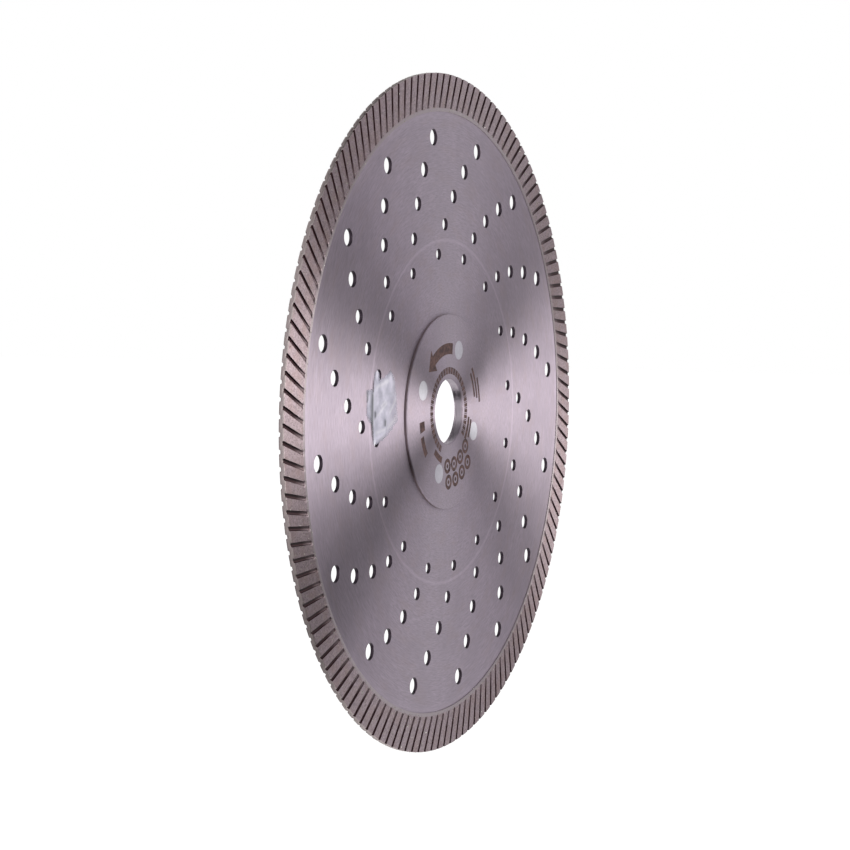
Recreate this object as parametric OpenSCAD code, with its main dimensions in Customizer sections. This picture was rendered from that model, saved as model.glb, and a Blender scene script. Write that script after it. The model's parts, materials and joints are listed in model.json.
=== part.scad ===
// Diamond cutting blade with a slotted continuous rim, a drilled steel core and a riveted hub.
// The blade stands on edge: its axis lies along Y, its front faces -Y and +Z is up.
// The origin is the middle of the bore, on the middle plane of the core.

/* [Blade] */
// Outside diameter of the blade
blade_d = 230; // [200:1:260]
// Diameter of the bore that takes the machine's spindle
bore_d = 22.23; // [16:0.01:25.4]
// Chamfer at both mouths of the bore
bore_chamfer = 0.3; // [0.1:0.05:0.5]

/* [Steel core] */
// Thickness of the steel core
core_t = 1.2; // [1:0.1:2]
// Number of curved rows of cooling holes
hole_rows = 16; // [6:1:20]
// Number of cooling holes in each row
holes_in_row = 5; // [2:1:6]
// Diameter of the innermost cooling hole of a row
hole_inner_d = 3.7; // [2:0.1:5]
// Diameter of the outermost cooling hole of a row
hole_outer_d = 5.5; // [3:0.1:7]
// Distance from the hub plates' edge to the innermost hole centres
hole_hub_gap = 20.7; // [10:0.1:30]
// Distance from the outermost hole centres to the rim
hole_rim_gap = 8.5; // [6:0.1:20]
// Clockwise turn from each hole of a row to the next one outwards, in degrees
hole_step = 5.72; // [-8:0.01:8]
// Direction of the innermost hole of the first row, in degrees
hole_phase = 6.7; // [0:0.1:22.5]

/* [Diamond rim] */
// Height of the rim, from its inner edge to the edge of the blade
rim_h = 13; // [8:0.5:15]
// How far each face of the rim stands proud of the core
rim_proud = 0.3; // [0.2:0.05:0.6]
// How far the edge of the core reaches into the groove of the rim
rim_lap = 1.1; // [0.5:0.1:3]
// Clearance between the edge of the core and the floor of the groove
rim_seat_gap = 0.05; // [0.01:0.01:0.2]

/* [Rim slots] */
// Number of slots on each face of the rim
slot_count = 140; // [60:1:160]
// Width of a slot at the face of the rim
slot_w = 1.4; // [0.6:0.1:2]
// Depth of a slot
slot_depth = 0.5; // [0.2:0.05:0.6]
// How much each wall of a slot leans inwards towards its floor
slot_draft = 0.2; // [0.05:0.05:0.25]
// Plain margin between the edge of the core and the slots
slot_margin = 0.15; // [0.1:0.05:2]
// Clockwise lean of a slot from the radius at its inner end, in degrees
slot_lean = 21.5; // [0:0.5:35]
// Direction of the inner end of the first front slot, in degrees
slot_phase = 0.9; // [0:0.1:6]

/* [Hub] */
// Diameter of the hub plates
hub_d = 66.6; // [56:0.1:80]
// Thickness of each hub plate
plate_t = 1; // [0.8:0.1:2]
// Chamfer round the outer edge of each hub plate
plate_chamfer = 0.25; // [0.05:0.05:0.5]
// Number of hub rivets
rivet_count = 4; // [3:1:8]
// Diameter of the flush rivet heads
rivet_head_d = 6.5; // [5.5:0.1:8]
// Diameter of the rivet shanks
rivet_shank_d = 4.9; // [3:0.1:5.2]
// Depth of the countersunk rivet heads
rivet_head_h = 0.8; // [0.4:0.05:0.9]
// Clearance all round a rivet in its hole
rivet_gap = 0.03; // [0.01:0.01:0.1]
// Direction of the first rivet, in degrees
rivet_phase = 68.5; // [0:0.5:90]

/* [Film remnant] */
// Radial width of the torn remnant of clear film on the front of the core
film_w = 23.7; // [10:0.1:35]
// Height of the remnant of film
film_h = 23.1; // [10:0.1:35]
// Thickness of the film
film_t = 0.1; // [0.05:0.01:0.2]
// Distance from the front hub plate to the film
film_hub_gap = 4.5; // [1:0.1:20]
// Direction of the middle of the film, in degrees
film_angle = 174.3; // [0:0.1:360]

/* [Hidden] */
$fn = 240;
// How far a cutting form reaches past the face that it cuts
cut_over = 0.5;
blade_r = blade_d / 2;
bore_r = bore_d / 2;
hub_r = hub_d / 2;
// Rim and core share the rim's inner edge
rim_inner_r = blade_r - rim_h;
rim_t = core_t + 2 * rim_proud;
core_r = rim_inner_r + rim_lap;
// The slots start just outside the edge of the core
slot_start_r = core_r + slot_margin;
slot_pitch = 360 / slot_count;
slot_len = rim_h / cos(slot_lean) + slot_w;
// Circles of cooling holes are evenly spaced from the hub to the rim
hole_first_r = hub_r + hole_hub_gap;
hole_last_r = rim_inner_r - hole_rim_gap;
hole_circle_step = (hole_last_r - hole_first_r) / (holes_in_row - 1);
hole_d_step = (hole_outer_d - hole_inner_d) / (holes_in_row - 1);
// Rivets pass through all three layers, midway between the bore and the hub's edge
stack_t = core_t + 2 * plate_t;
rivet_circle_r = (bore_r + hub_r) / 2;
rivet_names = [for (i = [1 : rivet_count]) str("hub_rivet_", i)];

// Stands a part that is drawn flat, with its front up, on its edge
module upright() {
    rotate([90, 0, 0])
        children();
}

// Places its child at the place of one rivet
module at_rivet(index) {
    rotate(rivet_phase + index * 360 / rivet_count)
        translate([rivet_circle_r, 0, 0])
            children();
}

// Outline of all the cooling holes
module cooling_holes() {
    for (row = [0 : hole_rows - 1], place = [0 : holes_in_row - 1])
        rotate(hole_phase + row * 360 / hole_rows - place * hole_step)
            translate([hole_first_r + place * hole_circle_step, 0])
                circle(d = hole_inner_d + place * hole_d_step, $fn = 48);
}

// One slot cutter, from its inner end outwards along +X, with the face of the rim at z = 0
module slot_cutter() {
    rotate([90, 0, 90])
        linear_extrude(slot_len)
            polygon([
                [-slot_w / 2, cut_over],
                [-slot_w / 2, 0],
                [-slot_w / 2 + slot_draft, -slot_depth],
                [slot_w / 2 - slot_draft, -slot_depth],
                [slot_w / 2, 0],
                [slot_w / 2, cut_over]
            ]);
}

// All the slots of one face of the rim, the first one at the given direction
module slot_ring(first) {
    for (i = [0 : slot_count - 1])
        rotate(first + i * slot_pitch)
            translate([slot_start_r, 0, rim_t / 2])
                rotate(-slot_lean)
                    slot_cutter();
}

// A rivet with a countersunk head at each end, grown by a clearance and with lengthened heads
module rivet_form(clearance = 0, over = 0) {
    head_r = rivet_head_d / 2 + clearance;
    shank_r = rivet_shank_d / 2 + clearance;
    half = stack_t / 2;
    rotate_extrude($fn = 64)
        polygon([
            [0, -half - over],
            [head_r, -half - over],
            [head_r, -half],
            [shank_r, -half + rivet_head_h],
            [shank_r, half - rivet_head_h],
            [head_r, half],
            [head_r, half + over],
            [0, half + over]
        ]);
}

// One hub plate, drawn with its inner face at z = 0
module hub_plate() {
    rotate_extrude()
        polygon([
            [bore_r, 0],
            [hub_r, 0],
            [hub_r, plate_t - plate_chamfer],
            [hub_r - plate_chamfer, plate_t],
            [bore_r + bore_chamfer, plate_t],
            [bore_r, plate_t - bore_chamfer]
        ]);
}

// All the rivet holes through the three layers
module rivet_holes() {
    for (index = [0 : rivet_count - 1])
        at_rivet(index)
            rivet_form(rivet_gap, cut_over);
}

// Thin steel disc with the bore, the cooling holes and plain holes for the rivet shanks
module steel_core() {
    color([0.58, 0.55, 0.58])
        upright()
            translate([0, 0, -core_t / 2])
                linear_extrude(core_t)
                    difference() {
                        circle(core_r);
                        circle(bore_r);
                        cooling_holes();
                        for (index = [0 : rivet_count - 1])
                            at_rivet(index)
                                circle(rivet_shank_d / 2 + rivet_gap, $fn = 64);
                    }
}

// Pressed ring of metal bond and diamond, grooved to sit over the edge of the core
module diamond_rim() {
    color([0.47, 0.42, 0.40])
        upright()
            difference() {
                rotate_extrude()
                    polygon([
                        [rim_inner_r, -rim_t / 2],
                        [blade_r, -rim_t / 2],
                        [blade_r, rim_t / 2],
                        [rim_inner_r, rim_t / 2],
                        [rim_inner_r, core_t / 2],
                        [core_r + rim_seat_gap, core_t / 2],
                        [core_r + rim_seat_gap, -core_t / 2],
                        [rim_inner_r, -core_t / 2]
                    ]);
                slot_ring(slot_phase);
                mirror([0, 0, 1])
                    slot_ring(slot_phase + slot_pitch / 2);
            }
}

// Plate on the front of the core that the machine's outer flange clamps
module front_hub_plate() {
    color([0.55, 0.52, 0.55])
        upright()
            difference() {
                translate([0, 0, core_t / 2])
                    hub_plate();
                rivet_holes();
            }
}

// Plate on the rear of the core that the machine's inner flange bears on
module rear_hub_plate() {
    color([0.55, 0.52, 0.55])
        upright()
            difference() {
                mirror([0, 0, 1])
                    translate([0, 0, core_t / 2])
                        hub_plate();
                rivet_holes();
            }
}

// One rivet, ground flush with both hub plates
module hub_rivet(index) {
    color([0.80, 0.79, 0.82])
        upright()
            at_rivet(index)
                rivet_form();
}

// Torn remnant of clear film that lies on the front of the core, beside the hub
module film_remnant() {
    // Corners as shares of the film's width, outwards from the hub, and of its height
    corners = [
        [0.00, -0.20], [0.22, -0.36], [0.41, -0.47], [0.72, -0.50], [0.84, -0.27], [0.96, -0.16],
        [1.00, 0.18], [0.81, 0.21], [0.75, 0.36], [0.51, 0.38], [0.28, 0.50], [0.16, 0.38], [0.07, 0.12]
    ];
    color([0.80, 0.82, 0.86])
        upright()
            rotate(film_angle)
                translate([hub_r + film_hub_gap, 0, core_t / 2])
                    linear_extrude(film_t)
                        polygon([for (corner = corners) [corner.x * film_w, -corner.y * film_h]]);
}

steel_core();
diamond_rim();
front_hub_plate();
rear_hub_plate();
for (index = [0 : rivet_count - 1])
    hub_rivet(index);
film_remnant();
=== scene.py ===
import json
import math
import random
import bmesh
import bpy
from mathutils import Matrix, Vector


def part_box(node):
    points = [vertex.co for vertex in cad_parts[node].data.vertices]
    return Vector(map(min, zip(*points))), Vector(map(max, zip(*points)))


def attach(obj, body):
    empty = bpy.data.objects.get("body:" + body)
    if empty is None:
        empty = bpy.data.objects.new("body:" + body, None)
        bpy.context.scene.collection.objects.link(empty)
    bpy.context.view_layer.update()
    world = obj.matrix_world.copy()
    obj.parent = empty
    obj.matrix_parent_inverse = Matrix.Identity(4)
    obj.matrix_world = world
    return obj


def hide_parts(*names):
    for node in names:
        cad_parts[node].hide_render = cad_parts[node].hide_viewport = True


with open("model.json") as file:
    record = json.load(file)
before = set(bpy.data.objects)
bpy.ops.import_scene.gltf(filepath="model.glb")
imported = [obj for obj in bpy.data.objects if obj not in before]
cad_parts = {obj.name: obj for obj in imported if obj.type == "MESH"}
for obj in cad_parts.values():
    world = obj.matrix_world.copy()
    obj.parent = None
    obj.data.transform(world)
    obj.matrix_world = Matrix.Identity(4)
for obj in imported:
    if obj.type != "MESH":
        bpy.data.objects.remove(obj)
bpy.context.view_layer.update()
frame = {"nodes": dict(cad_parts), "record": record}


# Camera
# A long lens stands to the left of the blade, a little above its middle, and looks across the front face.
# Lens, place, aim and shift come from the places of the cooling holes and the outline in the photograph.
core_low, core_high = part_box("steel_core")
view_azimuth = math.radians(-64.84)
view_elevation = math.radians(1.92)
view_distance = 0.7028
view_aim = Vector((-0.0172, core_low.y, 0.02493))


def direction(azimuth, elevation):
    """Unit vector from the blade towards a place round it; azimuth 0 is straight in front."""
    level = math.cos(elevation)
    return Vector((math.sin(azimuth) * level, -math.cos(azimuth) * level, math.sin(elevation)))


camera_data = bpy.data.cameras.new("camera")
camera_data.lens = 89.07
camera_data.sensor_width = 36.0
camera_data.shift_y = -0.1
camera_data.clip_start = 0.01
camera_data.clip_end = 50.0
camera = bpy.data.objects.new("camera", camera_data)
camera.location = view_aim + view_distance * direction(view_azimuth, view_elevation)
camera.rotation_euler = direction(view_azimuth, view_elevation).to_track_quat("Z", "Y").to_euler()
bpy.context.collection.objects.link(camera)
bpy.context.scene.camera = camera
bpy.context.scene.view_settings.view_transform = "Standard"


# Studio
# A pale floor under a white surround, with a soft lamp and three dark cards before each face of the blade.
# The cards keep the ground steel from mirroring white everywhere, as a photographer's black cards do.
def put(tree, kind, feeds=None, **settings):
    """Adds one node with its settings; feeds gives its sockets, by name or number, a link or a value."""
    made = tree.nodes.new(kind)
    for name, value in settings.items():
        setattr(made, name, value)
    for key, feed in (feeds or {}).items():
        if isinstance(feed, bpy.types.NodeSocket):
            tree.links.new(feed, made.inputs[key])
        else:
            made.inputs[key].default_value = feed
    return made


def figure(tree, operation, *terms):
    """One step of arithmetic on links or plain numbers."""
    return put(tree, "ShaderNodeMath", dict(enumerate(terms)), operation=operation).outputs[0]


def empty_tree(owner):
    """Turns on an owner's node tree and clears it."""
    owner.use_nodes = True
    owner.node_tree.nodes.clear()
    return owner.node_tree


def plainly_seen(tree):
    """1 for what is seen directly, in a mirror or through glass, and 0 for light that falls on things."""
    path = put(tree, "ShaderNodeLightPath")
    mirrored = figure(tree, "MAXIMUM", path.outputs["Is Camera Ray"], path.outputs["Is Glossy Ray"])
    return figure(tree, "MAXIMUM", mirrored, path.outputs["Is Transmission Ray"])


white = (1, 1, 1, 1)
surround_level = 0.55
world = bpy.data.worlds.new("surround")
bpy.context.scene.world = world
tree = empty_tree(world)
level_range = {"Value": plainly_seen(tree), "To Min": surround_level, "To Max": 1.0}
level = put(tree, "ShaderNodeMapRange", level_range).outputs["Result"]
background = put(tree, "ShaderNodeBackground", {"Color": white, "Strength": level})
put(tree, "ShaderNodeOutputWorld", {"Surface": background.outputs[0]})


def stage_panel(name, centre, facing, width, height, material):
    """A flat panel of the studio at a place, turned so that its face looks along facing."""
    half_w = width / 2
    half_h = height / 2
    corners = [(-half_w, -half_h, 0), (half_w, -half_h, 0), (half_w, half_h, 0), (-half_w, half_h, 0)]
    turn = facing.to_track_quat("Z", "Y").to_matrix()
    mesh = bpy.data.meshes.new(name)
    mesh.from_pydata([turn @ Vector(corner) + centre for corner in corners], [], [(0, 1, 2, 3)])
    mesh.materials.append(material)
    panel = bpy.data.objects.new(name, mesh)
    bpy.context.collection.objects.link(panel)
    return panel


floor_drop = 0.75
floor_size = 30.0
floor_glow = 0.6
floor_paint = bpy.data.materials.new("floor_paint")
tree = empty_tree(floor_paint)
matt = put(tree, "ShaderNodeBsdfDiffuse", {"Color": (0.9, 0.9, 0.9, 1)})
glow_level = figure(tree, "MULTIPLY", plainly_seen(tree), floor_glow)
glow = put(tree, "ShaderNodeEmission", {"Color": white, "Strength": glow_level})
paint = put(tree, "ShaderNodeAddShader", {0: matt.outputs[0], 1: glow.outputs[0]})
put(tree, "ShaderNodeOutputMaterial", {"Surface": paint.outputs[0]})
stage_panel("floor", Vector((0, 0, -floor_drop)), Vector((0, 0, 1)), floor_size, floor_size, floor_paint)

card_paint = bpy.data.materials.new("card_paint")
tree = empty_tree(card_paint)
matt = put(tree, "ShaderNodeBsdfDiffuse", {"Color": (0.03, 0.03, 0.03, 1)})
put(tree, "ShaderNodeOutputMaterial", {"Surface": matt.outputs[0]})
lamp_tint = (0.975, 1.0, 0.925)


def softbox(name, towards, distance, width, height, brightness):
    """A rectangular lamp that faces the blade; brightness is its radiance, where 1 is white."""
    lamp_data = bpy.data.lights.new(name, "AREA")
    lamp_data.shape = "RECTANGLE"
    lamp_data.size = width
    lamp_data.size_y = height
    lamp_data.energy = brightness * math.pi * width * height
    lamp_data.color = lamp_tint
    lamp = bpy.data.objects.new(name, lamp_data)
    lamp.location = distance * towards
    lamp.rotation_euler = towards.to_track_quat("Z", "Y").to_euler()
    lamp.visible_camera = False
    bpy.context.collection.objects.link(lamp)


def studio_way(side, azimuth, elevation):
    """Direction of a lamp or card, in degrees; those behind the blade mirror those before it."""
    turn = azimuth if side == "front" else 180 - azimuth
    return direction(math.radians(turn), math.radians(elevation))


def dark_card(name, centre, width, height):
    """A card that faces the blade and shows only in reflections, so the floor takes no shade from it."""
    card = stage_panel(name, centre, -centre, width, height, card_paint)
    card.visible_camera = False
    card.visible_diffuse = False
    card.visible_shadow = False
    card.visible_transmission = False


near_card_distance = 0.25
for side in ("front", "rear"):
    lamp_way = studio_way(side, azimuth=17.3, elevation=-1.8)
    upper_way = studio_way(side, azimuth=-10.9, elevation=30.0)
    lower_way = studio_way(side, azimuth=20.0, elevation=-11.7)
    near_way = studio_way(side, azimuth=-52.7, elevation=-53.3)
    softbox(f"{side}_lamp", lamp_way, distance=0.95, width=0.23, height=0.32, brightness=23.0)
    dark_card(f"{side}_upper_card", upper_way, width=1.17, height=1.08)
    dark_card(f"{side}_lower_card", lower_way, width=1.1, height=0.99)
    dark_card(f"{side}_near_card", near_card_distance * near_way, width=0.42, height=0.13)
# Two cards behind the blade darken its cutting edge, and a broad weak lamp on the left lights it
left_way = studio_way("front", azimuth=-95, elevation=25)
dark_card("over_card", Vector((0.05, 0.34, 0.6)), width=0.8, height=0.55)
dark_card("under_card", Vector((-0.4, 0.34, -0.6)), width=0.5, height=0.5)
softbox("left_lamp", left_way, distance=1.6, width=0.9, height=0.9, brightness=1.5)


# Steel core
# A thin disc of spring steel, cut out with its bore, its rivet holes and eighty cooling holes in curved rows.
# Both faces are ground in circles round the bore, and the rollers that tension the disc press a shallow ring.
def geometry_tree(name, **inputs):
    """A tree that takes a mesh and the named inputs; gives the tree, its input node and its output node."""
    tree = bpy.data.node_groups.new(name, "GeometryNodeTree")
    tree.interface.new_socket("Geometry", in_out="INPUT", socket_type="NodeSocketGeometry")
    for label, kind in inputs.items():
        tree.interface.new_socket(label.replace("_", " "), in_out="INPUT", socket_type="NodeSocket" + kind)
    tree.interface.new_socket("Geometry", in_out="OUTPUT", socket_type="NodeSocketGeometry")
    return tree, tree.nodes.new("NodeGroupInput"), tree.nodes.new("NodeGroupOutput")


def close_up(mesh, crease=math.radians(30)):
    """Merges doubled points, turns the faces outwards and keeps only edges past the crease angle sharp."""
    work = bmesh.new()
    work.from_mesh(mesh)
    bmesh.ops.remove_doubles(work, verts=work.verts, dist=1e-6)
    bmesh.ops.recalc_face_normals(work, faces=work.faces)
    work.to_mesh(mesh)
    work.free()
    mesh.shade_smooth()
    mesh.set_sharp_from_angle(angle=crease)


def grow(name, mesh, tree, **inputs):
    """Runs a tree on a mesh and gives the result as a plain closed mesh in a piece at the origin."""
    piece = bpy.data.objects.new(name, mesh)
    bpy.context.collection.objects.link(piece)
    modifier = piece.modifiers.new("grow", "NODES")
    modifier.node_group = tree
    for socket in tree.interface.items_tree:
        label = socket.name.replace(" ", "_")
        if socket.in_out == "INPUT" and label in inputs:
            modifier[socket.identifier] = inputs[label]
    graph = bpy.context.evaluated_depsgraph_get()
    result = bpy.data.meshes.new_from_object(piece.evaluated_get(graph), depsgraph=graph)
    piece.modifiers.remove(modifier)
    piece.data = result
    close_up(result)
    return piece


def settle(piece, slot, *nodes):
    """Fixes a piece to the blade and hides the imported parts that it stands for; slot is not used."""
    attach(piece, "root")
    if nodes:
        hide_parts(*nodes)


def turned(name, profiles, segments):
    """Surfaces turned round +Z, each from a profile of radius and height points."""
    points = []
    faces = []
    for profile in profiles:
        first = len(points)
        rows = len(profile)
        for step in range(segments):
            angle = math.tau * step / segments
            points += [(radius * math.cos(angle), radius * math.sin(angle), height)
                       for radius, height in profile]
        for step in range(segments):
            here = first + step * rows
            there = first + (step + 1) % segments * rows
            faces += [(here + row, there + row, there + row + 1, here + row + 1) for row in range(rows - 1)]
    mesh = bpy.data.meshes.new(name)
    mesh.from_pydata(points, [], faces)
    return mesh


def polar_point(tree, radius, angle):
    """Point in the flat disc at a radius and a direction."""
    across = figure(tree, "MULTIPLY", radius, figure(tree, "COSINE", angle))
    up = figure(tree, "MULTIPLY", radius, figure(tree, "SINE", angle))
    return put(tree, "ShaderNodeCombineXYZ", {0: across, 1: up}).outputs[0]


def upright(tree, geometry):
    """Stands flat work, drawn with its front up, on its edge with its front towards -Y."""
    turn = put(tree, "GeometryNodeTransform", {"Geometry": geometry, "Rotation": (math.pi / 2, 0, 0)})
    return turn.outputs[0]


def joined(tree, *parts):
    """Several geometries as one."""
    join = put(tree, "GeometryNodeJoinGeometry")
    for part in parts:
        tree.links.new(part, join.inputs[0])
    return join.outputs[0]


def deliver(tree, geometry, material, result):
    """Ends a tree: the geometry gets its material and goes out."""
    finish = put(tree, "GeometryNodeSetMaterial", {"Geometry": geometry, "Material": material})
    tree.links.new(finish.outputs[0], result.inputs[0])


plate_low, plate_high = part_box("front_hub_plate")
hub_r = plate_high.x
core_r = core_high.x
core_half = core_high.y
mounts = {mount["name"]: mount for mount in frame["record"]["mounts"]}
bore_r = mounts["arbor_bore"]["dims"]["r_mm"] / 1000
edge_break = 0.00008
bore_mouth_r = bore_r + edge_break
hole_rows = 16
holes_in_row = 5
hole_inner_r = 0.00185
hole_outer_r = 0.00275
hole_hub_gap = 0.0207
hole_edge_gap = 0.0096
hole_step = math.radians(5.72)
hole_phase = math.radians(6.7)
# The mouth of a hole is a little wider than its wall
mouth_share = 1.05
rivet_count = 4
rivet_hole_r = 0.00248
rivet_phase = math.radians(68.5)
ring_mark_r = 0.0585
ring_mark_w = 0.0008
ring_mark_depth = 0.00002
round_segments = 240
hole_segments = 48

drilled_disc, given, result = geometry_tree(
    "drilled_disc", Hole_Wall="Object", Rows="Int", Holes="Int", First_Circle="Float", Last_Circle="Float",
    Small_Hole="Float", Large_Hole="Float", Step="Float", Phase="Float", Rivets="Int", Rivet_Circle="Float",
    Rivet_Hole="Float", Rivet_Phase="Float", Mouth="Float", Half_Thickness="Float", Outer_Edge="Float",
    Ring_Outside="Float", Ring_Inside="Float", Bore_Edge="Float", Material="Material")
tree = drilled_disc
size = given.outputs
count = put(tree, "GeometryNodeInputIndex").outputs[0]
row = figure(tree, "FLOOR", figure(tree, "DIVIDE", count, size["Holes"]))
place = figure(tree, "MODULO", count, size["Holes"])
share = figure(tree, "DIVIDE", place, figure(tree, "SUBTRACT", size["Holes"], 1))
row_turn = figure(tree, "MULTIPLY", row, figure(tree, "DIVIDE", math.tau, size["Rows"]))
row_angle = figure(tree, "ADD", size["Phase"], row_turn)
hole_angle = figure(tree, "SUBTRACT", row_angle, figure(tree, "MULTIPLY", place, size["Step"]))
circle_gap = figure(tree, "SUBTRACT", size["Last Circle"], size["First Circle"])
circle_r = figure(tree, "MULTIPLY_ADD", share, circle_gap, size["First Circle"])
growth = figure(tree, "SUBTRACT", size["Large Hole"], size["Small Hole"])
cooling_r = figure(tree, "MULTIPLY_ADD", share, growth, size["Small Hole"])
cooling = put(tree, "GeometryNodePoints", {"Count": figure(tree, "MULTIPLY", size["Rows"], size["Holes"]),
                                           "Position": polar_point(tree, circle_r, hole_angle)})
rivet_turn = figure(tree, "MULTIPLY", count, figure(tree, "DIVIDE", math.tau, size["Rivets"]))
rivet_angle = figure(tree, "ADD", size["Rivet Phase"], rivet_turn)
rivets = put(tree, "GeometryNodePoints", {"Count": size["Rivets"],
                                          "Position": polar_point(tree, size["Rivet Circle"], rivet_angle)})
wall = put(tree, "GeometryNodeObjectInfo", {"Object": size["Hole Wall"]})
mouth = put(tree, "GeometryNodeCurvePrimitiveCircle", {"Resolution": hole_segments, "Radius": size["Mouth"]})
outlines = []
walls = []
for points, hole_r in ((cooling, cooling_r), (rivets, size["Rivet Hole"])):
    widths = put(tree, "ShaderNodeCombineXYZ", {0: hole_r, 1: hole_r, 2: 1.0}).outputs[0]
    for shape, kept in ((mouth.outputs[0], outlines), (wall.outputs["Geometry"], walls)):
        feeds = {"Points": points.outputs[0], "Instance": shape, "Scale": widths}
        copies = put(tree, "GeometryNodeInstanceOnPoints", feeds)
        kept.append(put(tree, "GeometryNodeRealizeInstances", {0: copies.outputs[0]}).outputs[0])
for label in ("Outer Edge", "Ring Outside", "Ring Inside", "Bore Edge"):
    feeds = {"Resolution": round_segments, "Radius": size[label]}
    outlines.append(put(tree, "GeometryNodeCurvePrimitiveCircle", feeds).outputs[0])
face = put(tree, "GeometryNodeFillCurve", {"Curve": joined(tree, *outlines)}, mode="TRIANGLES").outputs[0]
sides = []
for facing in (1, -1):
    height = put(tree, "ShaderNodeCombineXYZ", {2: figure(tree, "MULTIPLY", size["Half Thickness"], facing)})
    feeds = {"Geometry": face, "Translation": height.outputs[0]}
    sides.append(put(tree, "GeometryNodeTransform", feeds).outputs[0])
disc = joined(tree, size["Geometry"], *sides, *walls)
deliver(tree, upright(tree, disc), size["Material"], result)


def ring_place(tree):
    """Distance from the axis, and the outward direction, of a point on the blade."""
    place = put(tree, "ShaderNodeTexCoord").outputs["Object"]
    flat = put(tree, "ShaderNodeVectorMath", {0: place, 1: (1, 0, 1)}, operation="MULTIPLY").outputs[0]
    radius = put(tree, "ShaderNodeVectorMath", {0: flat}, operation="LENGTH").outputs["Value"]
    outward = put(tree, "ShaderNodeVectorMath", {0: flat}, operation="NORMALIZE").outputs["Vector"]
    return radius, outward


def grinding(tree, radius, outward, along, across):
    """Noise drawn out along the circles: along is its changes per radian, across its changes per metre."""
    round_part = put(tree, "ShaderNodeVectorMath", {0: outward, "Scale": along}, operation="SCALE").outputs[0]
    lift = put(tree, "ShaderNodeCombineXYZ", {"Y": figure(tree, "MULTIPLY", radius, across)}).outputs[0]
    both = put(tree, "ShaderNodeVectorMath", {0: round_part, 1: lift}, operation="ADD").outputs[0]
    noise = put(tree, "ShaderNodeTexNoise", {"Vector": both, "Scale": 1.0, "Detail": 3.0, "Roughness": 0.6})
    return noise.outputs["Fac"]


def map_range(tree, value, low, high, to_low, to_high):
    """Linear map of a value, clamped at both ends."""
    feeds = {"Value": value, "From Min": low, "From Max": high, "To Min": to_low, "To Max": to_high}
    return put(tree, "ShaderNodeMapRange", feeds).outputs["Result"]


def mix_colour(tree, factor, first, second):
    """Mixes two colours, each a plain colour or a link, by a factor."""
    return put(tree, "ShaderNodeMix", {0: factor, 6: first, 7: second}, data_type="RGBA").outputs[2]


def finished(tree, feeds):
    """Ends a material in the standard surface shader with the given inputs."""
    surface = put(tree, "ShaderNodeBsdfPrincipled", feeds)
    put(tree, "ShaderNodeOutputMaterial", {"Surface": surface.outputs[0]})


smear_colour = (0.27, 0.21, 0.23, 1)
bore_colour = (0.42, 0.37, 0.42, 1)
bore_band = 0.0004
polish_and_highlight_gain = 1.3
polish_fade = 0.003
steel_roughness = 0.47
roughness_swing = 0.06


def ground_steel(name, pale, dark, edge_shade_colour, cut_limit, polish_r):
    """Steel ground in circles, with painted shade on cut edges, a machined bore, a brighter ring outside
    polish_r and a painted highlight on the tension ring.
    """
    material = bpy.data.materials.new(name)
    tree = empty_tree(material)
    radius, outward = ring_place(tree)
    place = put(tree, "ShaderNodeTexCoord").outputs["Object"]
    # Streaks, clouds and smears of the faces
    streaks = grinding(tree, radius, outward, along=24.0, across=2600.0)
    scratches = grinding(tree, radius, outward, along=60.0, across=9000.0)
    smears = grinding(tree, radius, outward, along=6.0, across=220.0)
    clouds = put(tree, "ShaderNodeTexNoise", {"Vector": place, "Scale": 70.0, "Detail": 4.0}).outputs["Fac"]
    tone = mix_colour(tree, map_range(tree, streaks, 0.3, 0.7, 0.0, 1.0), dark, pale)
    tone = mix_colour(tree, map_range(tree, clouds, 0.4, 0.7, 0.0, 0.5), tone, dark)
    tone = mix_colour(tree, map_range(tree, smears, 0.5, 0.8, 0.0, 0.5), tone, smear_colour)
    # Polish near the outer edge, and a painted highlight along the rolled ring
    polish_and_ring_highlight = map_range(tree, radius, polish_r, polish_r + polish_fade, 0.0, 0.2)
    ring_gap = figure(tree, "ABSOLUTE", figure(tree, "SUBTRACT", radius, ring_mark_r))
    ring_highlight = map_range(tree, ring_gap, ring_mark_w / 4, ring_mark_w, 0.32, 0.0)
    polish_and_ring_highlight = figure(tree, "MAXIMUM", polish_and_ring_highlight, ring_highlight)
    tone = mix_colour(tree, polish_and_ring_highlight, tone, [level * polish_and_highlight_gain for level in pale[:3]] + [1])
    # Painted shade on the cut edges, and the bore's own colour, where the surface faces neither forwards nor
    # backwards
    facing = put(tree, "ShaderNodeNewGeometry").outputs["Normal"]
    flatness = figure(tree, "ABSOLUTE", put(tree, "ShaderNodeSeparateXYZ", {0: facing}).outputs["Y"])
    on_edge = map_range(tree, flatness, cut_limit - 0.1, cut_limit, 1.0, 0.0)
    in_bore = map_range(tree, radius, bore_r + bore_band, bore_r + 2 * bore_band, 1.0, 0.0)
    edge = mix_colour(tree, in_bore, edge_shade_colour, bore_colour)
    roughness = map_range(tree, scratches, 0.25, 0.75,
                          steel_roughness - roughness_swing, steel_roughness + roughness_swing)
    bump = put(tree, "ShaderNodeBump", {"Strength": 0.15, "Distance": 0.00002, "Height": scratches})
    finished(tree, {"Base Color": mix_colour(tree, on_edge, tone, edge), "Metallic": 1.0, "Anisotropic": 0.9,
                    "Roughness": roughness, "Tangent": place, "Normal": bump.outputs["Normal"]})
    return material


# The core's hole walls and edges get a dark painted shade
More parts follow.
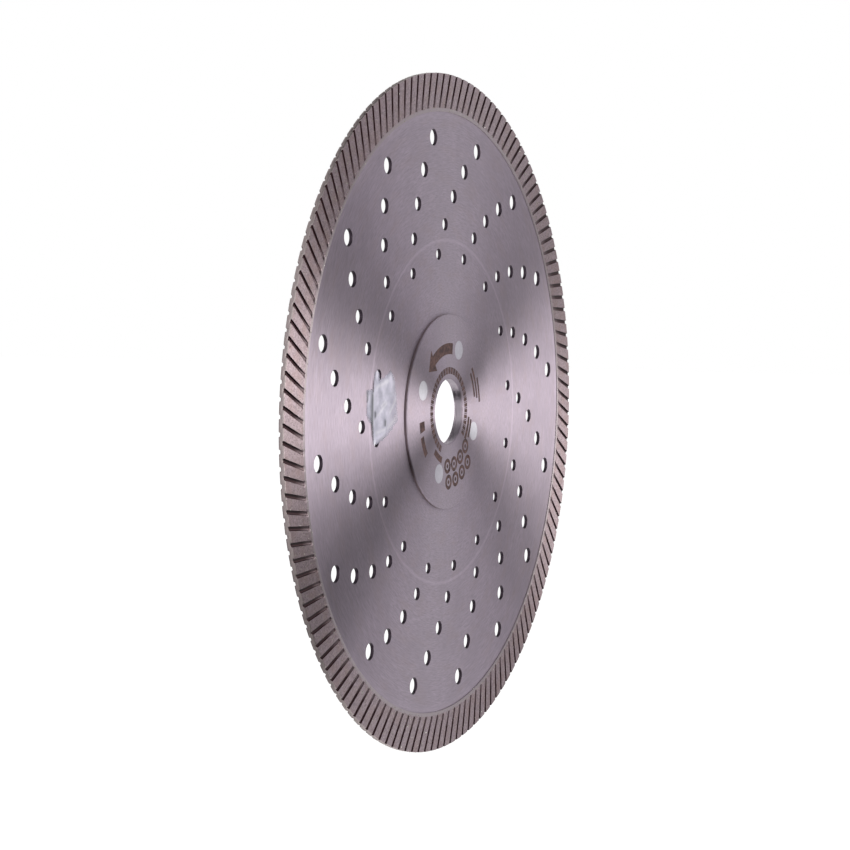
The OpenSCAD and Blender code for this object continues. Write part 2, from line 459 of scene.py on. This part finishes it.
core_steel = ground_steel("core_steel", pale=(0.335, 0.277, 0.34, 1), dark=(0.24, 0.199, 0.244, 1),
                          edge_shade_colour=(0.066, 0.05, 0.066, 1), cut_limit=0.95, polish_r=core_r - 0.0042)
wall_shape = turned("hole_wall", [[(mouth_share, core_half), (1, core_half - edge_break),
                                   (1, edge_break - core_half), (mouth_share, -core_half)]], hole_segments)
hole_wall = bpy.data.objects.new("hole_wall", wall_shape)
ring_outside = ring_mark_r + ring_mark_w / 2
ring_inside = ring_mark_r - ring_mark_w / 2
ring_floor = core_half - ring_mark_depth
edges = [[(core_r, core_half), (core_r, -core_half)],
         [(bore_mouth_r, core_half), (bore_r, core_half - edge_break),
          (bore_r, edge_break - core_half), (bore_mouth_r, -core_half)]]
for facing in (1, -1):
    edges.append([(ring_outside, facing * core_half), (ring_mark_r + ring_mark_w / 5, facing * ring_floor),
                  (ring_mark_r - ring_mark_w / 5, facing * ring_floor), (ring_inside, facing * core_half)])
core = grow("core_disc", turned("core_disc", edges, round_segments), drilled_disc, Hole_Wall=hole_wall,
            Rows=hole_rows, Holes=holes_in_row, First_Circle=hub_r + hole_hub_gap,
            Last_Circle=core_r - hole_edge_gap, Small_Hole=hole_inner_r, Large_Hole=hole_outer_r,
            Step=hole_step, Phase=hole_phase, Rivets=rivet_count, Rivet_Circle=(bore_r + hub_r) / 2,
            Rivet_Hole=rivet_hole_r, Rivet_Phase=rivet_phase, Mouth=mouth_share, Half_Thickness=core_half,
            Outer_Edge=core_r, Ring_Outside=ring_outside, Ring_Inside=ring_inside, Bore_Edge=bore_mouth_r,
            Material=core_steel)
bpy.data.objects.remove(hole_wall)
# The two faces are shaded flat, and only the walls and edges smooth
flat_limit = 0.999
core.data.polygons.foreach_set("use_smooth", [abs(face.normal.y) < flat_limit for face in core.data.polygons])
settle(core, "core_steel", "steel_core")


# Diamond rim
# A ring pressed from metal powder and diamond grit, sintered and grooved to sit over the edge of the core.
# Slanted slots on both faces carry air and dust; those of the rear lie midway between those of the front.
rim_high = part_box("diamond_rim")[1]
blade_r = rim_high.x
rim_half = rim_high.y
rim_inner_r = blade_r - 0.013
seat_r = core_r + 0.00005
rim_edge_round = 0.00015
slot_count = 140
slot_pitch = math.tau / slot_count
slot_start_r = core_r + 0.00015
slot_lean = math.radians(21.5)
slot_phase = math.radians(0.9)
slot_depth = 0.0005
# A slot runs in from just inside its start, and reaches its full depth further out
run_in_lead = 0.0001
run_in_length = 0.0005
inner_depth_share = 0.6
deepening_length = 0.0045
# Half a slot's section: distance from its middle, and depth as a share of the full depth
slot_section = [(0.0, 1.0), (0.00042, 1.0), (0.00051, 0.9), (0.00058, 0.55), (0.00064, 0.18), (0.0007, 0.0)]
# Columns of points from the middle of a slot to midway between two slots
slot_columns = 8


def slot_turn(radius):
    """Direction of a slot's middle line at a radius, from the direction of its inner end."""
    across = slot_start_r * math.sin(slot_lean)
    run = math.sqrt(radius ** 2 - across ** 2) - slot_start_r * math.cos(slot_lean)
    return -math.atan2(run * math.sin(slot_lean), slot_start_r + run * math.cos(slot_lean))


def slot_spread(column, radius):
    """Angle from the middle of a slot to one of its columns of points."""
    slant = math.asin(slot_start_r * math.sin(slot_lean) / radius)
    last = len(slot_section) - 1
    shoulder = slot_section[min(column, last)][0] / (radius * math.cos(slant))
    share = max(0, column - last) / (slot_columns - last)
    return shoulder + (slot_pitch / 2 - shoulder) * share


def slot_reach(column, radius):
    """Depth of a slot at a column and a radius; it runs in at its inner end and deepens outwards."""
    past_start = radius - slot_start_r
    run_in = min(1, max(0, (past_start + run_in_lead) / run_in_length))
    outwards = min(1, max(0, past_start / deepening_length))
    deepening = inner_depth_share + (1 - inner_depth_share) * outwards
    section = slot_section[column][1] if column < len(slot_section) else 0
    return slot_depth * section * run_in * deepening


def edge_drop(radius):
    """How far the rounded inner and outer edges of a face lie below it."""
    gap = rim_edge_round - min(radius - rim_inner_r, blade_r - radius, rim_edge_round)
    return rim_edge_round - math.sqrt(rim_edge_round ** 2 - gap ** 2)


def front_turn(column, radius):
    """Angle from the middle of a front slot to a column of points on the front face."""
    return math.copysign(1, column) * slot_spread(abs(column), radius)


def rear_turn(column, radius):
    """The same angle on the rear face, whose slots lie half a pitch on."""
    return math.copysign(1, column) * (slot_pitch / 2 - slot_spread(slot_columns - abs(column), radius))


# Radii of the points across a face, close together at its edges and at the inner ends of the slots
face_steps = 9
edge_inset = 0.00004
land_start_r = slot_start_r + 0.001
land_end_r = blade_r - 0.0003
face_radii = [rim_inner_r, rim_inner_r + edge_inset, rim_inner_r + rim_edge_round]
face_radii += [slot_start_r - run_in_lead, slot_start_r + 0.0003]
face_radii += [land_start_r + (land_end_r - land_start_r) * step / face_steps
               for step in range(face_steps + 1)]
face_radii += [blade_r - rim_edge_round, blade_r - edge_inset, blade_r]
groove_section = [(rim_inner_r, -core_half), (seat_r, -core_half),
                  (seat_r, core_half), (rim_inner_r, core_half)]


def rim_column(column):
    """Points round the rim's section at one column, as direction, radius and height."""
    near = abs(column)
    far = slot_columns - near
    front = [(front_turn(column, r), r, rim_half - edge_drop(r) - slot_reach(near, r)) for r in face_radii]
    rear = [(rear_turn(column, r), r, edge_drop(r) + slot_reach(far, r) - rim_half)
            for r in reversed(face_radii)]
    outer = [tuple(a + (b - a) * share for a, b in zip(front[-1], rear[0])) for share in (1 / 3, 2 / 3)]
    groove = [((front_turn(column, r) + rear_turn(column, r)) / 2, r, z) for r, z in groove_section]
    return [(slot_phase + slot_turn(r) + turn, r, z) for turn, r, z in front + outer + rear + groove]


points = []
faces = []
for column in range(-slot_columns, slot_columns + 1):
    section = rim_column(column)
    here = len(points)
    points += [(r * math.cos(angle), r * math.sin(angle), z) for angle, r, z in section]
    if column < slot_columns:
        there = here + len(section)
        for row in range(len(section)):
            after = (row + 1) % len(section)
            faces.append((here + row, there + row, there + after, here + after))
rim_sector = bpy.data.meshes.new("rim_sector")
rim_sector.from_pydata(points, [], faces)


def copies_round_axis(tree, shape, count, first, step):
    """Copies of a shape, turned about the axis by a first angle and an even step."""
    number = put(tree, "GeometryNodeInputIndex").outputs[0]
    angle = figure(tree, "MULTIPLY_ADD", number, step, first)
    euler = put(tree, "ShaderNodeCombineXYZ", {2: angle}).outputs[0]
    turn = put(tree, "FunctionNodeEulerToRotation", {0: euler}).outputs[0]
    places = put(tree, "GeometryNodePoints", {"Count": count}).outputs[0]
    feeds = {"Points": places, "Instance": shape, "Rotation": turn}
    copies = put(tree, "GeometryNodeInstanceOnPoints", feeds)
    return put(tree, "GeometryNodeRealizeInstances", {0: copies.outputs[0]}).outputs[0]


sintered_ring, given, result = geometry_tree("sintered_ring", Count="Int", Step="Float", Grain="Float",
                                             Roughness="Float", Seed="Float", Material="Material")
tree = sintered_ring
size = given.outputs
ring = copies_round_axis(tree, size["Geometry"], size["Count"], 0.0, size["Step"])
ring = put(tree, "GeometryNodeMergeByDistance", {"Geometry": ring, "Distance": 1e-6}).outputs[0]
grain = put(tree, "ShaderNodeTexNoise", {"Vector": put(tree, "GeometryNodeInputPosition").outputs[0],
                                         "W": size["Seed"], "Scale": size["Grain"], "Detail": 2.0},
            noise_dimensions="4D")
lift = figure(tree, "MULTIPLY", figure(tree, "SUBTRACT", grain.outputs["Fac"], 0.5), size["Roughness"])
normal = put(tree, "GeometryNodeInputNormal").outputs[0]
offset = put(tree, "ShaderNodeVectorMath", {0: normal, "Scale": lift}, operation="SCALE").outputs[0]
rough = put(tree, "GeometryNodeSetPosition", {"Geometry": ring, "Offset": offset}).outputs[0]
deliver(tree, upright(tree, rough), size["Material"], result)

bond_dark = (0.19, 0.144, 0.163, 1)
bond_pale = (0.358, 0.279, 0.311, 1)
bond_patch = (0.25, 0.17, 0.17, 1)
margin_colour = (0.30, 0.252, 0.275, 1)
cutting_edge_colour = (0.42, 0.355, 0.36, 1)
# Painted shade for the recesses of the slots
slot_shade_colour = (0.034, 0.017, 0.02, 1)
rim_bond = bpy.data.materials.new("rim_bond")
tree = empty_tree(rim_bond)
place = put(tree, "ShaderNodeTexCoord").outputs["Object"]
radius = ring_place(tree)[0]
depth = figure(tree, "ABSOLUTE", put(tree, "ShaderNodeSeparateXYZ", {0: place}).outputs["Y"])
grain_feeds = {"Vector": place, "Scale": 1800.0, "Detail": 4.0, "Roughness": 0.7}
grain = put(tree, "ShaderNodeTexNoise", grain_feeds).outputs["Fac"]
patches = put(tree, "ShaderNodeTexNoise", {"Vector": place, "Scale": 220.0, "Detail": 2.0}).outputs["Fac"]
land = mix_colour(tree, map_range(tree, grain, 0.35, 0.65, 0.0, 1.0), bond_dark, bond_pale)
land = mix_colour(tree, map_range(tree, patches, 0.45, 0.7, 0.0, 0.5), land, bond_patch)
on_margin = map_range(tree, radius, slot_start_r - 0.0003, slot_start_r + 0.0002, 1.0, 0.0)
land = mix_colour(tree, on_margin, land, margin_colour)
on_rim_edge = map_range(tree, radius, blade_r - 0.00015, blade_r - 0.00006, 0.0, 1.0)
land = mix_colour(tree, on_rim_edge, land, cutting_edge_colour)
# Painted shade darkens the slots, more of it outwards and a deeper patch at their inner ends, for their end
# walls' shadow
below_face = map_range(tree, depth, rim_half - 0.0001, rim_half - 0.00003, 1.0, 0.0)
slot_shade = map_range(tree, radius, slot_start_r, slot_start_r + 0.005, 0.5, 1.0)
end_wall_shadow = map_range(tree, radius, slot_start_r + 0.0003, slot_start_r + 0.0012, 0.75, 0.0)
slot_shade = figure(tree, "MAXIMUM", slot_shade, end_wall_shadow)
off_edges = figure(tree, "SUBTRACT", figure(tree, "SUBTRACT", 1.0, on_rim_edge), on_margin)
slot_shade_mask = figure(tree, "MULTIPLY", figure(tree, "MULTIPLY", below_face, slot_shade),
                 figure(tree, "MAXIMUM", off_edges, 0.0))
bump = put(tree, "ShaderNodeBump", {"Strength": 0.2, "Distance": 0.00006, "Height": grain})
drawn = put(tree, "ShaderNodeVectorRotate", {"Vector": place, "Angle": math.radians(-9)},
            rotation_type="Y_AXIS")
finished(tree, {"Base Color": mix_colour(tree, slot_shade_mask, land, slot_shade_colour), "Metallic": 1.0,
                "Anisotropic": 0.85, "Roughness": 0.48, "Tangent": drawn.outputs[0],
                "Normal": bump.outputs["Normal"]})
rim = grow("slotted_rim", rim_sector, sintered_ring, Count=slot_count, Step=slot_pitch, Grain=700.0,
           Roughness=0.00003, Seed=4.0, Material=rim_bond)
settle(rim, "rim_bond", "diamond_rim")


# Diamond grit
# Crystals of synthetic diamond that are sintered into the bond, and that wear lays bare.
# They stand a little proud of the lands and of the cutting edge.
scattered_grit, given, result = geometry_tree("scattered_grit", Density="Float", Face="Float", Edge="Float",
                                              Small="Float", Large="Float", Seed="Int", Material="Material")
tree = scattered_grit
size = given.outputs
where = put(tree, "GeometryNodeInputPosition").outputs[0]
parts = put(tree, "ShaderNodeSeparateXYZ", {0: where}).outputs
on_land = figure(tree, "GREATER_THAN", figure(tree, "ABSOLUTE", parts["Y"]), size["Face"])
flat = put(tree, "ShaderNodeVectorMath", {0: where, 1: (1, 0, 1)}, operation="MULTIPLY").outputs[0]
reach = put(tree, "ShaderNodeVectorMath", {0: flat}, operation="LENGTH").outputs["Value"]
on_rim_edge = figure(tree, "GREATER_THAN", reach, size["Edge"])
chosen = figure(tree, "MAXIMUM", on_land, on_rim_edge)
spots = put(tree, "GeometryNodeDistributePointsOnFaces", {"Mesh": size["Geometry"], "Selection": chosen,
                                                          "Density": size["Density"], "Seed": size["Seed"]})
crystal = put(tree, "GeometryNodeMeshIcoSphere", {"Radius": 1.0, "Subdivisions": 1})
width_range = {2: size["Small"], 3: size["Large"], "Seed": size["Seed"]}
width = put(tree, "FunctionNodeRandomValue", width_range).outputs[1]
turn_range = {0: (0, 0, 0), 1: (math.tau, math.tau, math.tau), "Seed": size["Seed"]}
tumble = put(tree, "FunctionNodeRandomValue", turn_range, data_type="FLOAT_VECTOR").outputs[0]
turn = put(tree, "FunctionNodeEulerToRotation", {0: tumble}).outputs[0]
copies = put(tree, "GeometryNodeInstanceOnPoints", {"Points": spots.outputs["Points"],
                                                    "Instance": crystal.outputs["Mesh"],
                                                    "Rotation": turn, "Scale": width})
whole = put(tree, "GeometryNodeRealizeInstances", {0: copies.outputs[0]}).outputs[0]
deliver(tree, whole, size["Material"], result)

grit_look = bpy.data.materials.new("diamond_grit")
tree = empty_tree(grit_look)
place = put(tree, "ShaderNodeTexCoord").outputs["Object"]
tint = put(tree, "ShaderNodeTexNoise", {"Vector": place, "Scale": 1500.0, "Detail": 1.0}).outputs["Fac"]
grit_colour = mix_colour(tree, map_range(tree, tint, 0.4, 0.6, 0.0, 1.0),
                         (0.20, 0.17, 0.12, 1), (0.50, 0.46, 0.38, 1))
finished(tree, {"Base Color": grit_colour, "Roughness": 0.15, "IOR": 2.4})
bare_depth = 0.00006
grit = grow("diamond_grit", rim.data.copy(), scattered_grit, Density=450000.0, Face=rim_half - bare_depth,
            Edge=blade_r - bare_depth, Small=0.00006, Large=0.00016, Seed=7, Material=grit_look)
settle(grit, "rim_bond")


# Hub plates
# Two thin steel rings, turned and ground in circles like the core.
# They lie on both faces of the core, and the machine's flanges clamp them.
def dress(node, material):
    """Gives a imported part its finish."""
    part = frame["nodes"][node]
    part.data.materials.clear()
    part.data.materials.append(material)


# The hub plates' cut edges get a lighter painted shade than the core's
hub_steel = ground_steel("hub_steel", pale=(0.33, 0.272, 0.332, 1), dark=(0.24, 0.199, 0.242, 1),
                         edge_shade_colour=(0.22, 0.17, 0.185, 1), cut_limit=0.6, polish_r=core_r)
dress("front_hub_plate", hub_steel)
dress("rear_hub_plate", hub_steel)


# Hub rivets
# Four steel rivets with a countersunk head at each end, set through both plates and the core.
# They are ground flush together with the plates, and their own steel is paler.
rivet_steel = bpy.data.materials.new("rivet_steel")
tree = empty_tree(rivet_steel)
place = put(tree, "ShaderNodeTexCoord").outputs["Object"]
brushing = put(tree, "ShaderNodeTexNoise", {"Vector": place, "Scale": 900.0, "Detail": 3.0}).outputs["Fac"]
rivet_colour = mix_colour(tree, brushing, (0.37, 0.352, 0.402, 1), (0.51, 0.483, 0.545, 1))
finished(tree, {"Base Color": rivet_colour, "Metallic": 1.0, "Anisotropic": 0.8, "Roughness": 0.5,
                "Tangent": place})
for number in range(1, rivet_count + 1):
    dress(f"hub_rivet_{number}", rivet_steel)


# Laser marks
# Brown marks that a laser burns into the front hub plate.
# They are a ring of ticks, two rows of plain rings, a few lines and an arrow for the direction of turning.
mark_top = 0.00001 - plate_low.y
mark_base = mark_top - 0.00003


def plate_shape(name, outlines):
    """Thin flat plates on the front of the hub, one for each outline of points."""
    points = []
    faces = []
    for outline in outlines:
        first = len(points)
        size = len(outline)
        points += [(x, y, mark_base) for x, y in outline] + [(x, y, mark_top) for x, y in outline]
        faces.append(tuple(first + step for step in reversed(range(size))))
        faces.append(tuple(first + size + step for step in range(size)))
        for step in range(size):
            after = (step + 1) % size
            faces.append((first + step, first + after, first + size + after, first + size + step))
    mesh = bpy.data.meshes.new(name)
    mesh.from_pydata(points, [], faces)
    return mesh


def spot(radius, angle, centre_r=0.0):
    """Point at an angle on a circle whose middle lies at a distance from the axis."""
    return (centre_r + radius * math.cos(angle), radius * math.sin(angle))


def arc(radius, start, end, steps=12):
    """Points along an arc round the axis, with its directions in degrees."""
    return [spot(radius, math.radians(start + (end - start) * step / steps)) for step in range(steps + 1)]


def strip(middle_r, width, start, end):
    """Outline of a curved strip round the axis."""
    return arc(middle_r - width / 2, start, end) + arc(middle_r + width / 2, end, start)


def ring_and_dot(name, centre_r, outside_r, inside_r):
    """A plain flat ring, and a dot in it, at a distance from the axis."""
    steps = 24
    angles = [math.tau * step / steps for step in range(steps + 1)]
    shapes = []
    for low, high in zip(angles, angles[1:]):
        corners = ((inside_r, low), (outside_r, low), (outside_r, high), (inside_r, high))
        shapes.append([spot(r, angle, centre_r) for r, angle in corners])
    shapes.append([spot(inside_r / 2, angle, centre_r) for angle in angles[:-1]])
    return plate_shape(name, shapes)


marks_round, given, result = geometry_tree("marks_round", Count="Int", First="Float", Step="Float",
                                           Material="Material")
tree = marks_round
size = given.outputs
ring = copies_round_axis(tree, size["Geometry"], size["Count"], size["First"], size["Step"])
deliver(tree, upright(tree, ring), size["Material"], result)

mark_look = bpy.data.materials.new("laser_mark")
tree = empty_tree(mark_look)
place = put(tree, "ShaderNodeTexCoord").outputs["Object"]
burn = put(tree, "ShaderNodeTexNoise", {"Vector": place, "Scale": 700.0, "Detail": 3.0}).outputs["Fac"]
burn_colour = mix_colour(tree, map_range(tree, burn, 0.35, 0.65, 0.0, 1.0),
                         (0.034, 0.016, 0.018, 1), (0.11, 0.055, 0.05, 1))
finished(tree, {"Base Color": burn_colour, "Metallic": 1.0, "Roughness": 0.5})


def mark_row(name, shape, count=1, first=0.0, step=0.0):
    """One row of like marks round the axis; first and step are in degrees."""
    row = grow(name, shape, marks_round, Count=count, First=math.radians(first), Step=math.radians(step),
               Material=mark_look)
    settle(row, "hub_steel")


tick_pair = [strip(0.0140, 0.0023, -2.2, 2.8), strip(0.0140, 0.0023, 3.6, 5.0)]
mark_row("tick_marks", plate_shape("tick_marks", tick_pair), count=34, first=-36.0, step=8.3)
ring_rows = [("inner_ring_marks", 0.0187, -94.0, 16.8), ("outer_ring_marks", 0.0242, -91.0, 13.6)]
for name, centre_r, first, step in ring_rows:
    ring_shape = ring_and_dot(name, centre_r, outside_r=0.0026, inside_r=0.0014)
    mark_row(name, ring_shape, count=4, first=first, step=step)
right_lines = [strip(0.0218, 0.0012, 10, 34), strip(0.0238, 0.0012, 8, 36), strip(0.0258, 0.0012, 4, 24)]
lower_lines = [strip(0.0168, 0.0015, -38, -10), strip(0.0188, 0.0012, -32, -12)]
left_bars = [strip(0.0218, 0.0038, 186, 195), strip(0.0227, 0.0024, 199, 217)]
left_bars += [strip(0.0173, 0.0022, 228, 250)]
mark_row("line_marks", plate_shape("line_marks", right_lines + lower_lines + left_bars))
arrow_start = 82
arrow_neck = 124
arrow_tip = 139
arrow = arc(0.0196, arrow_start, arrow_neck)
for corner_r, corner_angle in ((0.0172, arrow_neck), (0.0215, arrow_tip), (0.0258, arrow_neck)):
    arrow.append(spot(corner_r, math.radians(corner_angle)))
arrow += arc(0.0234, arrow_neck, arrow_start)
mark_row("arrow_mark", plate_shape("arrow_mark", [arrow]))


# Film remnant
# The torn rest of a clear protective film that still sticks to the core beside the hub, milky and creased.
# It bridges two cooling holes; its folds stand off the steel and its outline is ragged.
film_w = 0.0237
film_h = 0.0231
film_t = 0.0001
film_start_r = hub_r + 0.0045
film_angle = math.radians(174.3)
pale_fold_lift = 0.0002
dark_fold_lift = 0.0003
# The film grows clear towards the hub, along a slanting line, and towards its torn edges
hub_fade = 0.35 * film_w
fade_slant = 0.3
edge_fade = 0.0015
tear = 0.0003
tears_per_edge = 8
film_rings = 26
# Corners as shares of the film's width, outwards from the hub, and of its height
film_corners = [(0.00, -0.20), (0.22, -0.36), (0.44, -0.48), (0.60, -0.53), (0.73, -0.56), (0.84, -0.27),
                (0.96, -0.16), (1.00, 0.18), (0.82, 0.21), (0.77, 0.46), (0.67, 0.48), (0.62, 0.35),
                (0.51, 0.38), (0.28, 0.50), (0.16, 0.38), (0.07, 0.12)]
# Folds from one point to another, in millimetres outwards from the film's inner end and up, and their widths
pale_folds = [((15.2, -3.2), (9.2, 0.8), 0.6), ((12.9, -0.2), (10.5, 1.2), 0.5),
              ((6.5, -2.0), (2.5, 2.5), 0.6), ((17.0, 5.5), (9.0, 8.0), 0.7),
              ((16.5, -9.0), (9.5, -7.5), 0.6), ((7.5, -7.0), (1.5, -3.5), 0.8)]
# The dark folds are lifted, and the film's colour gets painted shade along them
dark_folds = [((19.7, 2.8), (19.2, -4.5), 1.1), ((19.3, -4.5), (18.6, -11.5), 1.3),
              ((19.2, 7.2), (19.3, 3.8), 0.5), ((23.0, 4.0), (22.9, 0.8), 0.4),
              ((17.0, -2.8), (17.0, -3.6), 0.9), ((9.7, -5.2), (9.7, -6.2), 0.9)]


def line_gap(point, start, end):
    """Distance from a point of the film to a straight line between two others."""
    run = end - start
    share = min(1, max(0, (point - start).dot(run) / run.length_squared))
    return (point - start - run * share).length


def fold_strength(point, folds):
    """How much a point of the film belongs to the nearest of some folds, from 0 to 1."""
    gaps = [line_gap(point, Vector(start) / 1000, Vector(end) / 1000) * 1000 / width
            for start, end, width in folds]
    return math.exp(-min(gaps) ** 2)


ragged = random.Random(5)
corners = [Vector((out * film_w, up * film_h)) for out, up in film_corners]
torn_edges = list(zip(corners, corners[1:] + corners[:1]))
outline = []
for corner, following in torn_edges:
    across = (following - corner).orthogonal().normalized()
    outline += [corner.lerp(following, step / tears_per_edge) + across * ragged.uniform(-tear, tear)
                for step in range(tears_per_edge)]
film_middle = Vector((0.5 * film_w, 0))
sheet = [film_middle]
for ring in range(1, film_rings + 1):
    sheet += [film_middle.lerp(point, ring / film_rings) for point in outline]

outwards = Vector((math.cos(film_angle), math.sin(film_angle)))
upwards = -outwards.orthogonal()
points = []
folds = []
covers = []
for layer in (0, film_t):
    for place in sheet:
        pale = fold_strength(place, pale_folds)
        dark = fold_strength(place, dark_folds)
        flat = outwards * (film_start_r + place.x) + upwards * place.y
        points.append((flat.x, -core_half - layer - pale_fold_lift * pale - dark_fold_lift * dark, flat.y))
        folds.append(pale - dark)
        inner = min(1, max(0, (place.x + fade_slant * place.y) / hub_fade))
        edge_gap = min(line_gap(place, corner, following) for corner, following in torn_edges)
        covers.append(inner * min(1, edge_gap / edge_fade))
spokes = len(outline)
layer_size = len(sheet)
faces = []
for step in range(spokes):
    after = (step + 1) % spokes
    for first, flip in ((0, False), (layer_size, True)):
        cells = [(first, first + 1 + step, first + 1 + after)]
        for ring in range(film_rings - 1):
            near = first + 1 + ring * spokes
            far = near + spokes
            cells.append((near + step, far + step, far + after, near + after))
        faces += [tuple(reversed(cell)) if flip else cell for cell in cells]
    last = 1 + (film_rings - 1) * spokes
    faces.append((last + step, last + layer_size + step, last + layer_size + after, last + after))
film_mesh = bpy.data.meshes.new("film_sheet")
film_mesh.from_pydata(points, [], faces)
for label, values in (("fold", folds), ("cover", covers)):
    film_mesh.attributes.new(label, "FLOAT", "POINT").data.foreach_set("value", values)
close_up(film_mesh, math.radians(60))

clear_film = bpy.data.materials.new("clear_film")
tree = empty_tree(clear_film)
place = put(tree, "ShaderNodeTexCoord").outputs["Object"]
fold = put(tree, "ShaderNodeAttribute", attribute_name="fold").outputs["Fac"]
cover = put(tree, "ShaderNodeAttribute", attribute_name="cover").outputs["Fac"]
haze = put(tree, "ShaderNodeTexNoise", {"Vector": place, "Scale": 260.0, "Detail": 4.0}).outputs["Fac"]
milk_and_fold_shade = mix_colour(tree, map_range(tree, haze, 0.35, 0.65, 0.0, 1.0),
                  (0.54, 0.515, 0.645, 1), (0.67, 0.625, 0.765, 1))
milk_and_fold_shade = mix_colour(tree, map_range(tree, fold, 0.1, 0.9, 0.0, 0.7), milk_and_fold_shade, (0.80, 0.76, 0.86, 1))
# Painted shade darkens the film along the dark folds
milk_and_fold_shade = mix_colour(tree, map_range(tree, fold, -0.9, -0.1, 0.9, 0.0), milk_and_fold_shade, (0.16, 0.16, 0.19, 1))
haze_cover = map_range(tree, haze, 0.35, 0.65, 0.65, 0.85)
edge_cover = map_range(tree, cover, 0.0, 1.0, 0.3, 1.0)
finished(tree, {"Base Color": milk_and_fold_shade, "Roughness": 0.3,
                "Alpha": figure(tree, "MULTIPLY", haze_cover, edge_cover)})
film_mesh.materials.append(clear_film)
film = bpy.data.objects.new("film_sheet", film_mesh)
bpy.context.collection.objects.link(film)
settle(film, "clear_film", "film_remnant")
